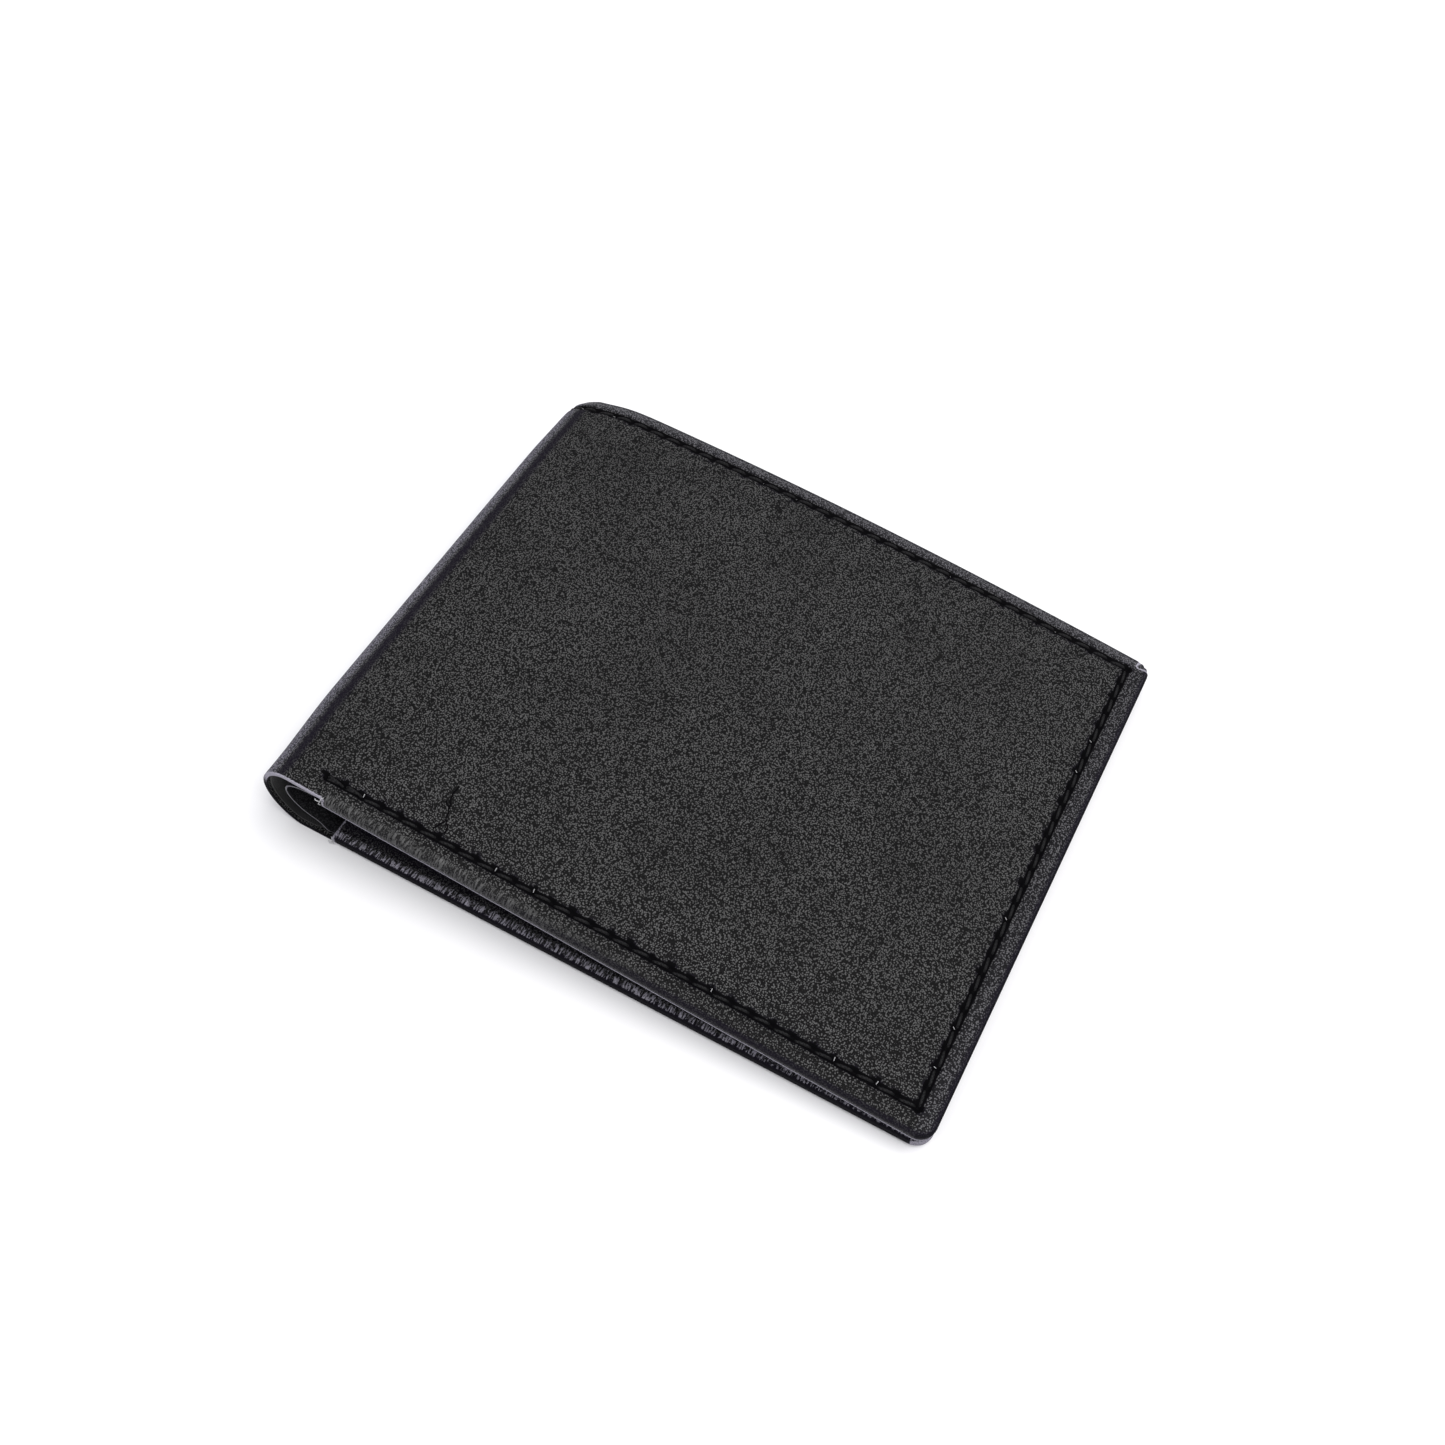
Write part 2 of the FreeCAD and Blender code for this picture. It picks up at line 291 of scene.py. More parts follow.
def slab(name, s_axis, y_axis, outer, inner, bend, materials, edge_slot=0):
    """A closed layer between two depths, each a number or one for each s and y. bend maps flat
    coordinates to places."""
    s, y = np.meshgrid(s_axis, y_axis, indexing="ij")
    faces = grid_faces(*s.shape) + grid_faces(*s.shape, s.size)
    index = np.arange(s.size).reshape(s.shape)
    loop = np.concatenate([index[:, 0], index[-1, 1:], index[-2::-1, -1], index[0, -2:0:-1]])
    following = np.roll(loop, -1)
    rim = np.stack([loop, following, following + s.size, loop + s.size], -1).tolist()
    slots = [0] * len(faces) + [edge_slot] * len(rim)
    depths = [depth(s, y) if callable(depth) else depth for depth in (outer, inner)]
    points = np.concatenate([bend(s, y, depth).reshape(-1, 3) for depth in depths])
    flat = np.tile(np.stack([s.ravel(), y.ravel(), np.zeros(s.size)], -1), (2, 1))
    return finish_mesh(name, points, faces + rim, materials, {"flat_place": flat}, slots)


FINE = (0.0, 0.06, 0.15, 0.3)  # places in a layer's mesh beside its edges


def axis(start, finish, step, fine=FINE):
    """Places from start to finish about a step apart, closer beside both ends."""
    count = max(2, round((finish - start - 2 * fine[-1]) / step))
    middle = np.linspace(start + fine[-1], finish - fine[-1], count + 1)
    low = start + np.array(fine[:-1])
    high = finish - np.array(fine[-2::-1])
    return np.concatenate([low, middle, high])


def edge_round(distance, radius):
    """0 at a rounded edge to 1 at a radius inside it."""
    t = np.clip(distance / radius, 0, 1)
    return np.sqrt(np.clip(1 - (1 - t) ** 2, 0, 1))


# ---- materials ----
PEBBLES_PER_MM = 3.6
LEATHER_GLOSS = 0.12
# violet-black painted shade: the roll's sides, the turned hem faces, the stitches, the fold's dark band and
# the front's dark outlines
PAINTED_SHADE = (0.0062, 0.0044, 0.0110)
# pale of painted highlights on creases, arrises, wrinkles and the notch, and of real wear on scuffs and
# tucks
PALE_WEAR_AND_HIGHLIGHT = (0.37, 0.355, 0.415)
# violet of the fold's painted sheen and of the edge strips' lighter tone
SHEEN_VIOLET = (0.34, 0.325, 0.42)
SHEEN_S, DARK_S = 6.3, 9.75  # where the fold has its painted violet sheen, and its band of painted shade


class Nodes:
    """A short way to write the nodes of a material or of the world."""

    def __init__(self, owner, shader="Principled BSDF"):
        self.owner = owner
        owner.use_nodes = True
        self.tree = owner.node_tree
        self.shader = self.tree.nodes[shader]

    def add(self, kind, settings=None, **inputs):
        node = self.tree.nodes.new(kind)
        for key, value in (settings or {}).items():
            setattr(node, key, value)
        self.set(node, **inputs)
        return node

    def put(self, socket, value):
        if isinstance(value, bpy.types.NodeSocket):
            self.tree.links.new(value, socket)
        else:
            socket.default_value = value

    def attribute(self, name, output="Fac"):
        return self.add("ShaderNodeAttribute", {"attribute_name": name}).outputs[output]

    def place(self, attribute="flat_place", scale=(1, 1, 1)):
        vector = self.attribute(attribute, "Vector")
        return self.add("ShaderNodeMapping", Vector=vector, Scale=scale).outputs["Vector"]

    def noise(self, vector, scale, detail=3.0, roughness=0.5, output="Fac"):
        node = self.add("ShaderNodeTexNoise", Vector=vector, Scale=scale, Detail=detail, Roughness=roughness)
        return node.outputs[output]

    def wave(self, vector, bands, scale, distortion, detail):
        inputs = {"Vector": vector, "Scale": scale, "Distortion": distortion, "Detail": detail}
        return self.add("ShaderNodeTexWave", {"bands_direction": bands}, **inputs).outputs["Fac"]

    def ramp(self, value, low, high, out_low=0.0, out_high=1.0):
        """A smooth step from out_low to out_high where the value goes from low to high."""
        limits = {"From_Min": low, "From_Max": high, "To_Min": out_low, "To_Max": out_high}
        node = self.add("ShaderNodeMapRange", {"interpolation_type": "SMOOTHSTEP"}, Value=value, **limits)
        return node.outputs["Result"]

    def math(self, operation, a, b=0.0, c=0.0):
        node = self.add("ShaderNodeMath", {"operation": operation})
        for socket, value in zip(node.inputs, (a, b, c)):
            self.put(socket, value)
        return node.outputs[0]

    def times(self, a, b):
        return self.math("MULTIPLY", a, b)

    def times_plus(self, a, b, c):
        """a times b, plus c."""
        return self.math("MULTIPLY_ADD", a, b, c)

    def mix(self, factor, low, high):
        node = self.add("ShaderNodeMix", {"data_type": "FLOAT"})
        for number, value in ((0, factor), (2, low), (3, high)):
            self.put(node.inputs[number], value)
        return node.outputs[0]

    def colour(self, factor, low, high):
        node = self.add("ShaderNodeMix", {"data_type": "RGBA"})
        self.put(node.inputs[0], factor)
        for socket, value in ((node.inputs[6], low), (node.inputs[7], high)):
            self.put(socket, value if isinstance(value, bpy.types.NodeSocket) else (*value, 1))
        return node.outputs[2]

    def bump(self, height, strength, distance):
        node = self.add("ShaderNodeBump", Height=height, Strength=strength, Distance=distance)
        return node.outputs["Normal"]

    def set(self, node=None, **inputs):
        """Sets inputs of a node, or else of the shader."""
        for key, value in inputs.items():
            self.put((node or self.shader).inputs[key.replace("_", " ")], value)


def leather_material(name, lit_crest, shaded_valley, roughness, grain=1.0, sheen=0.0):
    """Fine pebbled leather: small domes whose crests are painted lighter and whose creases are painted dark,
    as painted highlight and painted shade, finer and calmer on the hems, with ridges where they are
    gathered; painted shade on the edges, a painted violet sheen, and pale lines that are painted highlights
    on creases and arrises and wear on scuffs and tucks."""
    n = Nodes(bpy.data.materials.new(name))
    flat = n.place()
    warp = n.noise(flat, 1.1, 2.0, output="Color")
    warped = n.add("ShaderNodeVectorMath", {"operation": "MULTIPLY_ADD"})
    for socket, value in zip(warped.inputs, (warp, (0.35, 0.35, 0.35), flat)):
        n.put(socket, value)
    cells = {"Vector": warped.outputs[0], "Scale": PEBBLES_PER_MM, "Randomness": 0.85}
    dome = n.ramp(n.add("ShaderNodeTexVoronoi", **cells).outputs["Distance"], 0.34, 0.52, 1.0, 0.0)
    pores = n.noise(flat, 6.5, 3.0, 0.6)
    clusters = n.noise(flat, 0.95, 3.0, 0.65)
    patches = n.noise(flat, 0.05, 5.0, 0.6)
    drift = n.noise(flat, 0.35, 4.0, 0.6)
    band, wear_and_highlight, shade, sheen_and_tone = [n.attribute(key) for key in ("hem_band", "wear_and_highlight", "shade", "sheen_and_tone")]

    inward = n.add("ShaderNodeSeparateXYZ", Vector=n.attribute("edge_place", "Vector")).outputs["Y"]
    gathers = n.noise(n.place("edge_place", (4.2, 0.7, 1)), 1.0, 2.0, 0.5)
    gathered = n.times(band, n.ramp(inward, 1.0, 1.9, 1.0, 0.0))
    ridge = n.times(n.ramp(gathers, 0.47, 0.57), gathered)
    calm = n.times_plus(band, -0.45, 1.0)
    height = n.times(n.times_plus(pores, 0.5, dome), calm)
    height = n.times_plus(n.ramp(clusters, 0.35, 0.7), 0.35, height)
    height = n.times_plus(ridge, 1.3, height)

    mottle = n.times_plus(drift, 0.35, n.times(patches, 0.65))
    tone = n.times(n.ramp(mottle, 0.36, 0.66, 0.76, 1.2), n.ramp(clusters, 0.33, 0.67, 0.88, 1.12))
    # the crests are painted lighter and the creases darker, and the gathered ridges lighter still: painted
    # highlight and painted shade for the grain's own lighting
    lit = n.times(n.times_plus(pores, 2.4, -0.2), n.times(dome, tone))
    light = n.mix(n.times(gathered, 0.5), lit, n.times_plus(ridge, 2.3, 0.16))
    base = n.colour(light, shaded_valley, lit_crest)
    # painted violet sheen on the fold, and a lighter violet tone on the edge strips
    base = n.colour(n.times(sheen_and_tone, n.times_plus(dome, 1.1, 0.2)), base, SHEEN_VIOLET)
    # painted shade: the colour darkens where the shade attribute is set
    base = n.colour(n.times(shade, 0.95), base, PAINTED_SHADE)
    # pale lines: painted highlights on creases and ridges, and wear on scuffs
    scuffs = n.ramp(n.noise(n.place("edge_place", (2, 3, 3)), 1.3, 4.0, 0.7), 0.25, 0.75, -0.5, 0.5)
    pale_share = n.times_plus(ridge, 0.7, n.math("ADD", wear_and_highlight, scuffs))
    pale_share = n.times(n.ramp(pale_share, 0.45, 0.95), n.ramp(wear_and_highlight, 0.0, 0.3))
    gloss = n.times_plus(dome, -0.14, roughness + 0.07)
    gloss = n.times_plus(n.math("ADD", shade, sheen_and_tone), 0.38, gloss)
    n.set(Base_Color=n.colour(pale_share, base, PALE_WEAR_AND_HIGHLIGHT), Roughness=n.times_plus(pores, 0.10, gloss))
    n.set(Normal=n.bump(height, grain, 0.00020), Specular_IOR_Level=LEATHER_GLOSS)
    n.set(Sheen_Weight=sheen, Sheen_Roughness=0.35, Sheen_Tint=(0.70, 0.64, 1.0, 1))
    return n.owner


def cut_edge_material(name, dark, light, roughness, gloss):
    """A cut leather edge: fibres in thin uneven layers, paler along its arris and crease as a painted
    highlight, and on scuffs as wear.
    """
    n = Nodes(bpy.data.materials.new(name))
    fibres = n.noise(n.place(scale=(3.0, 3.0, 9.0)), 2.5, 5.0, 0.7)
    base = n.colour(n.ramp(fibres, 0.35, 0.65), dark, light)
    pale_share = n.math("ADD", n.attribute("wear_and_highlight"), n.ramp(fibres, 0.3, 0.7, -0.4, 0.4))
    n.set(Base_Color=n.colour(n.ramp(pale_share, 0.42, 0.92), base, PALE_WEAR_AND_HIGHLIGHT))
    n.set(Roughness=n.ramp(fibres, 0.3, 0.7, roughness, roughness + 0.2))
    n.set(Normal=n.bump(fibres, 0.5, 0.00006), Specular_IOR_Level=gloss)
    return n.owner


def twill_material(name, dark, light):
    """Fine woven lining with slanting twill ribs."""
    n = Nodes(bpy.data.materials.new(name))
    ribs = n.wave(n.place(), "DIAGONAL", 1.6, 0.4, 1.0)
    across = n.wave(n.place(scale=(1, -1, 1)), "X", 3.4, 0.3, 2.0)
    weave = n.times_plus(across, 0.4, ribs)
    slubs = n.noise(n.place(scale=(0.4, 3.0, 1)), 1.2, 3.0, 0.6)
    tone = n.times_plus(weave, 0.5, n.times(slubs, 0.4))
    n.set(Base_Color=n.colour(tone, dark, light), Roughness=n.ramp(tone, 0.0, 1.0, 0.62, 0.82))
    n.set(Normal=n.bump(weave, 0.5, 0.00006), Sheen_Weight=0.15)
    return n.owner


def thread_material(name, dark, light, roughness):
    """Twisted thread: slanting plies round each stitch."""
    n = Nodes(bpy.data.materials.new(name))
    ply = n.wave(n.place("ply_place"), "DIAGONAL", 1.0, 0.2, 2.0)
    fuzz = n.noise(n.place("ply_place"), 14.0, 3.0, 0.7)
    tone = n.times_plus(fuzz, 0.3, n.times(ply, 0.7))
    n.set(Base_Color=n.colour(tone, dark, light))
    n.set(Roughness=n.ramp(fuzz, 0.3, 0.7, roughness, roughness + 0.15))
    n.set(Normal=n.bump(ply, 0.7, 0.0001), Specular_IOR_Level=0.2, Sheen_Weight=0.02)
    return n.owner


# crest and valley colours: painted highlight on the pebbles' crests and painted shade in their creases
OUTER = leather_material("outer_leather", (0.108, 0.108, 0.107), (0.0003, 0.0003, 0.0004), 0.30, 1.0, 0.01)
INNER = leather_material("inner_leather", (0.024, 0.024, 0.026), (0.005, 0.005, 0.006), 0.46, 0.5, 0.03)
CUT = cut_edge_material("cut_edge", (0.035, 0.034, 0.040), (0.15, 0.145, 0.17), 0.5, 0.3)
# dark low-gloss edge on the cuts and pocket edges, and painted shade on the outer leather's roll sides
DARK_EDGE_AND_SHADE = cut_edge_material("dark_edge_and_painted_shade", (0.0022, 0.002, 0.0032), (0.008, 0.0075, 0.011), 0.70, 0.05)
# black painted shade for the stitch grooves, the holes and the crack
SHADE_BLACK = cut_edge_material("black_painted_shade", (0.0008, 0.0008, 0.001), (0.0028, 0.0026, 0.0034), 0.55, 0.03)
TWILL = twill_material("lining_twill", (0.003, 0.003, 0.0035), (0.011, 0.011, 0.012))
THREAD = thread_material("black_thread", (0.0015, 0.0015, 0.002), (0.009, 0.009, 0.010), 0.42)
PALE_THREAD = thread_material("pale_thread", (0.45, 0.45, 0.46), (0.85, 0.85, 0.87), 0.6)


# ---- outer leather with its turned edges ----
SOFT_STEPS = 6
CRISP_STEPS = 6
ROLL_STEPS = SOFT_STEPS + CRISP_STEPS
OUTER_PART = CORNER * np.array([(share, 0) for share in (1.0, 0.93, 0.85, 0.76, 0.66, 0.56, 0.46, 0.36)])
ROW_STEPS = STITCH_INSET + np.array([-0.75, -0.55, -0.36, -0.18, 0, 0.18, 0.36, 0.55, 0.75, 1.05])
LIP_SHARES = np.array([0.1, 0.35, 0.65, 0.9])
SOFT_SHARE = 0.34
CRISP_SHARE = 0.16
CREASE_START = 0.45  # the crease, with its pale painted highlight line, begins this far before the crisp turn
HEM_DROOP = 0.28  # how far the outer face slopes down towards the roll
CUT_INSET = 0.25  # how far a bare cut edge lies inside a rolled one
UNDER_STEPS = len(LIP_SHARES) + 7  # a cut section's places inside, to match a rolled section
# the columns of a section where the roll, its crisp turn, the lip and the hem's end begin
FIRST_ROLL = len(OUTER_PART)
FIRST_CRISP = FIRST_ROLL + SOFT_STEPS
FIRST_LIP = FIRST_ROLL + ROLL_STEPS
FIRST_END = FIRST_LIP + len(LIP_SHARES)
CORNER_STEPS = 14
IN_Y, KIND, SHARE = 3, 4, 6  # places in the tuple that describes a station of the outline


def rolled_profile(rim, reach, pared):
    """Section across a hemmed edge, from a corner radius inside round the roll, along the lip
    and back under it. The roll is soft at the outer face and creased sharp at the lip. Columns
    are the distance inwards in plan and the depth."""
    soft, crisp = rim * SOFT_SHARE, rim * CRISP_SHARE
    turn = np.linspace(0, math.pi / 2, SOFT_STEPS)
    shoulder = soft - soft * np.stack([np.sin(turn), np.cos(turn)], -1)
    turn = np.linspace(0, math.pi / 2, CRISP_STEPS - 1)
    crease = np.stack([crisp - crisp * np.cos(turn), rim - crisp + crisp * np.sin(turn)], -1)
    crease = np.concatenate([[[0, rim - crisp - CREASE_START]], crease])
    lip = np.stack([crisp + (reach - crisp) * LIP_SHARES, np.full(len(LIP_SHARES), rim)], -1)
    under = rim - pared
    end = np.array([[reach - 0.08, rim - 0.05], [reach, rim - pared / 2], [reach - 0.08, under + 0.05]])
    back = np.array([[reach - 0.5, under], [(reach + 1.3) / 2, under], [1.3, under]])
    inner_mid = (under + LEATHER) / 2
    inner = np.array([[0.85, inner_mid], [1.3, LEATHER], [1.9, LEATHER], [CORNER, LEATHER]])
    return np.concatenate([OUTER_PART, shoulder, crease, lip, end, back, inner])


def cut_profile():
    """The same section where the leather is only cut: a square edge with softened corners."""
    radius = LEATHER / 2
    start = CUT_INSET + radius
    turn = np.linspace(0, math.pi, ROLL_STEPS)
    level = np.cos(turn)
    bulge = np.sign(level) * np.abs(level) ** 0.55
    side = np.sin(turn) ** 0.35
    edge = np.stack([start - radius * side * 0.9, radius - radius * bulge], -1)
    shares = np.linspace(0.1, 0.9, UNDER_STEPS)
    inner = np.stack([start + (1.8 - start) * shares, np.full(UNDER_STEPS, LEATHER)], -1)
    tail = np.array([[1.9, LEATHER], [2.25, LEATHER], [CORNER, LEATHER]])
    return np.concatenate([OUTER_PART, edge, inner, tail])


def stitch_stations(hole, pitch, low, high):
    """Places between low and high, close together beside each hole of a row through one hole."""
    first = math.floor((low - hole) / pitch)
    numbers = np.arange(first, first + math.ceil((high - low) / pitch) + 2)
    places = (hole + (numbers[:, None] + np.array(STITCH_SHARES)) * pitch).ravel()
    return places[(places > low + 0.15) & (places < high - 0.15)]


def leather_axes():
    """The panel's mesh places along s and y, which the edge band shares."""
    along = stitch_stations(SIDE_ROW_S, ALONG_PITCH, 1.2, S_OPEN - ROW_STEPS[-1])
    along = along[np.abs(along - S_NOTCH) > 0.2]
    extra = [0, 0.04, 0.12, 0.28, 0.55, 0.95, S_NOTCH - 0.06, S_NOTCH + 0.06, S_CORNER]
    s_axis = np.unique([*along, *extra, *(S_OPEN - ROW_STEPS)])
    low, high = LOW_Y + ROW_STEPS, TOP_Y - ROW_STEPS
    across = stitch_stations(NEAR_ROW_Y, ROWS["side"][3], low[-1], high[-1])
    return s_axis, np.unique([LOW_Y + CORNER, *low, *across, *high, TOP_Y - CORNER])


def leather_stations(s_axis, y_axis):
    """The outline from the fold along the lower edge, the open side and the banknote edge, back
    to the fold: plan place, direction inwards, kind of edge, room for the hem, and how far
    round the banknote edge's corner it is."""
    angles = np.linspace(-math.pi / 2, 0, CORNER_STEPS + 1)[1:-1]
    places = list(zip(s_axis, np.minimum(HEM_WIDTH, S_OPEN - s_axis)))
    lower = [(s, LOW_Y, 0, 1, "cut" if s < S_NOTCH else "hem", room, 0.0) for s, room in places]
    turn = [corner_station(LOW_Y + CORNER, angle, "turn", 0.0) for angle in angles]
    side = [(S_OPEN, y, -1, 0, "hem", min(HEM_WIDTH, y - LOW_Y, TOP_Y - y), 0.0) for y in y_axis]
    corner = [
        corner_station(TOP_Y - CORNER, angle + math.pi / 2, "corner", number / CORNER_STEPS)
        for number, angle in enumerate(angles, 1)
    ]
    upper = [(s, TOP_Y, 0, -1, "top", room, 1.0) for s, room in places[::-1]]
    return lower + turn + side + corner + upper


def corner_station(centre_y, angle, kind, share):
    c, d = math.cos(angle), math.sin(angle)
    return (S_CORNER + CORNER * c, centre_y + CORNER * d, -c, -d, kind, CORNER, share)


def station_profile(kind, room, share):
    if kind == "cut":
        return cut_profile()
    rim = RIM + (TOP_RIM - RIM) * share
    return rolled_profile(rim, room, HEM - 0.02 * share)


def column_of(stations, number):
    return np.array([station[number] for station in stations])[:, None]


def edge_band(stations):
    """The band's flat coordinates at each station and each column of its section, with the
    distances inwards from the edge and along it."""
    s, y, in_s, in_y = np.array([station[:KIND] for station in stations], float).T[..., None]
    steps = np.hypot(np.diff(s[:, 0]), np.diff(y[:, 0]))
    inward, depth = np.moveaxis(np.array([station_profile(*station[KIND:]) for station in stations]), 2, 0)
    s = s + in_s * inward
    y = y + in_y * inward
    dents = np.where(np.arange(depth.shape[1]) < FIRST_CRISP, stitch_dents(s, y), 0)
    depth = depth + hem_droop(stations, inward, depth) + dents + corner_pleats(stations, inward)
    along = np.concatenate([[0], np.cumsum(steps)])
    return s, y, depth, inward, along[:, None] + 0 * depth


def joined(band, outside, inside):
    """One list of numbers for the whole leather, from its band and its panel's two faces."""
    return np.concatenate([band.ravel(), outside.ravel(), inside.ravel()])


def outer_leather(front):
    """One half of the outer leather, up to the middle of the fold: a band that runs round with
    the hems, and a panel inside it with an outer and an inner face."""
    s_axis, y_axis = leather_axes()
    stations = leather_stations(s_axis, y_axis)
    s, y, depth, inward, along = edge_band(stations)
    panel_s, panel_y = np.meshgrid(s_axis, y_axis, indexing="ij")
    plain = np.zeros_like(panel_s)

    faces = grid_faces(*depth.shape)
    slots = band_slots(stations, front)
    for first in (depth.size, depth.size + plain.size):
        faces += grid_faces(*plain.shape, first)
    faces.append(seam_loop(*depth.shape, *plain.shape))
    slots += [0] * (len(faces) - len(slots))

    all_s, all_y = joined(s, panel_s, panel_s), joined(y, panel_y, panel_y)
    points = place(all_s, all_y, joined(depth, stitch_dents(panel_s, panel_y), plain + LEATHER), front)
    on_panel = {"shade": surface_shade(panel_s, panel_y, front), "sheen_and_tone": sheen_and_strip_tone(panel_s, panel_y, front)}
    attributes = edge_attributes(stations, inward, s, y, front)
    for key, band in attributes.items():
        attributes[key] = joined(band, on_panel.get(key, plain), plain)
    side = 1 if front else -1
    attributes["flat_place"] = np.stack([side * all_s, all_y, joined(depth * 2, plain, plain + 2)], -1)
    attributes["edge_place"] = np.stack([joined(band, plain, plain) for band in (along, inward, depth)], -1)
    band_shade = np.where(np.arange(depth.shape[1]) < FIRST_CRISP, stitch_shade(s, y), 0)
    slots = paint_stitch_shade(faces, slots, joined(band_shade, stitch_shade(panel_s, panel_y), plain))
    name, materials = sided("outer_leather_skin", front), [OUTER, DARK_EDGE_AND_SHADE, SHADE_BLACK]
    return finish_mesh(name, points, faces, materials, attributes, slots, merge=0.002)


def sheen_and_strip_tone(s, y, front):
    """How much painted violet sheen the leather has round the upper side of the fold, where it stands for a
    grazing reflection, and how much fainter lighter violet tone outside the stitches along the banknote edge
    and the open side."""
    fold = 0.52 * bell(s - SHEEN_S, 1.9, 4)
    banknote_edge = 0.12 * smooth((y - TOP_Y + STITCH_INSET - 0.5) / 0.5)
    side_edge = 0.07 * smooth((s - S_OPEN + STITCH_INSET - 0.5) / 0.5)
    return np.maximum(fold, np.maximum(banknote_edge, side_edge)) * front


def surface_shade(s, y, front):
    """Painted shade on the outer face: in the stitch grooves and holes, a dark band where the fold begins to
    bend, and a dark outline along the curled banknote edge and the open side of the front half."""
    fold = 0.93 * bell(s - DARK_S, 0.95, 4) * smooth((TOP_Y - 2 - y) / 3)
    banknote_edge = 0.8 * smooth((y - TOP_Y + 0.9) / 0.4)
    side_edge = 0.8 * smooth((s - S_OPEN + 1.1) / 0.5)
    return np.maximum.reduce([stitch_shade(s, y), fold, banknote_edge * front, side_edge * front])


def between(values, low, high):
    return (values >= low) & (values < high)


def edge_attributes(stations, inward, s, y, front):
    """Where the edge band has ridges (hem_band); pale lines that are painted highlights on the crease, the
    cut arris, the back lip's wrinkles and the notch, and wear on corner scuffs and tucks; painted shade
    (shade) on the roll's side, the turned face and by the stitches; and the fold's painted sheen."""
    kinds = column_of(stations, KIND)
    column = np.arange(inward.shape[1])[None, :]
    hemmed = kinds != "cut"
    lower = hemmed & (column_of(stations, IN_Y) == 1)
    roll = between(column, FIRST_ROLL, FIRST_LIP)
    by_corner = smooth((s - S_NOTCH - 15) / 50)
    gathered = smooth((3.1 - inward) / 0.5) * (1 - 0.85 * by_corner)
    band = np.where(lower & (column < FIRST_CRISP), gathered, 0)
    band = np.where(hemmed & between(column, FIRST_LIP - (1 if front else 4), FIRST_LIP + 2), 1.0, band)

    # painted highlight: a pale line along the front's crisp crease
    pale = np.select([column == FIRST_CRISP, between(column, FIRST_CRISP + 1, FIRST_CRISP + 5)], [0.35, 1.0])
    crease_highlight = pale * (hemmed & front)
    # painted highlight on the cut arris, strong on the front half and faint on the back
    arris_highlight_strength = 0.1 + 0.85 * front * smooth(s / 5)
    arris_highlight = arris_highlight_strength * ((kinds == "cut") & between(column, FIRST_ROLL + 1, FIRST_ROLL + 8))
    # painted highlight on the back lip's wrinkles, which lie in the front half's shade
    wrinkle_highlight = 0.35 * (lower & between(column, FIRST_CRISP + 5, FIRST_CRISP + 7) & (not front))
    # painted highlight on the notch's cut end
    notch = (np.abs(s - S_NOTCH) < 0.1) & (y < LOW_Y + 3) & between(column, FIRST_ROLL + 2, FIRST_LIP + 2)
    # pale scuffs on the lower corner's roll, as wear, and the notch's painted highlight
    scuffs_and_notch_highlight = np.where((kinds == "turn") & roll, 0.2 if front else 0.75, 1.1 * notch)
    wear_and_highlight = [crease_highlight, arris_highlight, wrinkle_highlight, scuffs_and_notch_highlight, tuck_lines(stations, inward, front)]

    # painted shade on the roll's side, lighter near the notch on the front's lower edge
    shaded_side = np.where(lower & front, 0.15 + 0.7 * by_corner, 1) * smooth((0.8 - inward) / 0.45)
    roll_side_shade = shaded_side * (hemmed & roll & (crease_highlight == 0))
    # painted shade on the turned hem's inner face, in the gap between the halves
    turned_face_shade = 0.8 * (hemmed & (column >= FIRST_CRISP + 7))
    faced = column < FIRST_CRISP - 1
    shade = [roll_side_shade, turned_face_shade + 0 * s, surface_shade(s, y, front) * faced]
    return {
        "hem_band": band,
        "wear_and_highlight": np.maximum.reduce(wear_and_highlight),
        "shade": np.maximum.reduce(shade),
        "sheen_and_tone": sheen_and_strip_tone(s, y, front) * faced,
    }


def tuck_lines(stations, inward, front):
    """Pale cracked lines of the small tuck where the hem turns the corner at the banknote edge."""
    share = np.where(column_of(stations, KIND) == "corner", column_of(stations, SHARE), -1)
    inside = (share > 0.2) & (share < 0.87) & (inward < 2.1)
    sides = (np.abs(share - 0.25) < 0.05) | (np.abs(share - 0.82) < 0.05)
    arch = inward > 1.9
    return 1.9 * (inside & (sides | arch) & front)


def hem_droop(stations, inward, depth):
    """The outer face slopes down from the stitches to the roll."""
    kinds = column_of(stations, KIND)
    rim = np.where(kinds == "top", TOP_RIM, RIM)
    sloped = (kinds != "cut") & (np.arange(inward.shape[1]) < FIRST_LIP)
    return HEM_DROOP * sloped * np.clip(1 - inward / CORNER, 0, 1) ** 1.3 * np.clip(1 - depth / rim, 0, 1)


def corner_pleats(stations, inward):
    """Small gathered pleats where the hem turns the corner at the banknote edge."""
    share = np.where(column_of(stations, KIND) == "corner", column_of(stations, SHARE), 0)
    near_edge = smooth((1.9 - inward) / 1.2)
    return np.sin(math.pi * share) * near_edge * 0.14 * np.cos(share * 23)


def paint_stitch_shade(faces, slots, shade):
    """Faces in the stitch groove and round the holes, where the painted shade is deepest, take the black
    painted-shade material.
    """
    corners = np.array([face[:4] for face in faces])
    pressed = shade[corners].mean(axis=1) > 0.5
    return np.where(pressed & (np.array(slots) == 0), 2, slots).tolist()


